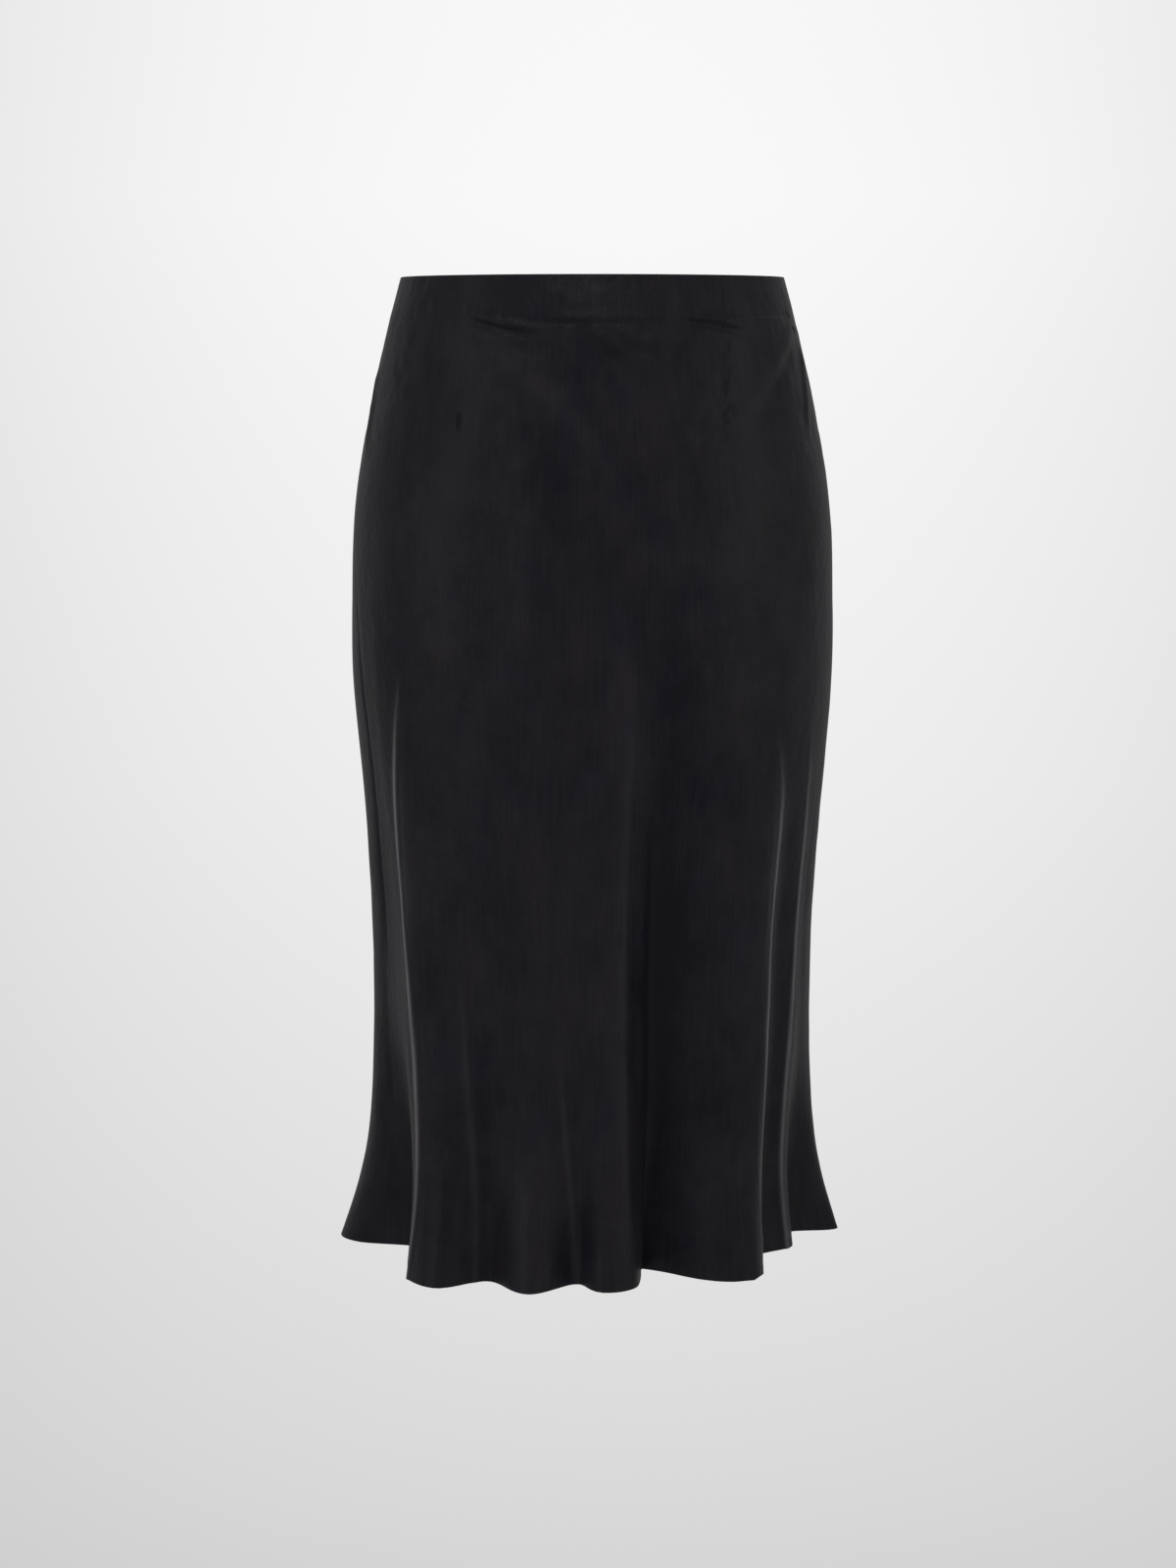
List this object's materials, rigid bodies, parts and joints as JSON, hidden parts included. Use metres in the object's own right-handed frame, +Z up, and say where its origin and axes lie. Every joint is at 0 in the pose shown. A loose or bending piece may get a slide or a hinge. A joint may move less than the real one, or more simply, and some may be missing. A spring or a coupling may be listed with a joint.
{
  "type": "slip skirt",
  "caption": "Midi slip skirt in black sandwashed satin, cut on the bias with waist darts and a fluted hem, filled out as worn and hollow.",
  "frame": {"origin": "centre of the waist opening, level with the waist edge, where the wearer holds the skirt up", "axes": "+Z up out of the waist, the front faces -Y, and the wearer's left is +X"},
  "size_m": [0.3914, 0.2942, 0.7458],
  "materials": {
    "satin": "satin",
    "facing": "satin, duller inside",
    "zip_tape": "matte woven",
    "zip_coil": "satin",
    "zip_metal": "gloss enamel"
  },
  "bodies": {
    "skirt": {"front_panel": "satin", "back_panel": "satin", "front_facing": "facing", "back_facing": "facing", "zip_tape_front": "zip_tape", "zip_tape_back": "zip_tape", "zip_coil": "zip_coil", "zip_slider": "zip_metal"},
    "pull_tab": {"zip_pull_tab": "zip_metal"}
  },
  "joints": [
    {"name": "pull_tab_hinge", "type": "hinge", "parent": "skirt", "child": "pull_tab", "pos_m": [0.1454, 0.02151, -0.00792], "axis": [0.2439, -0.9695, 0.0229], "range_deg": [0, 165]}
  ]
}
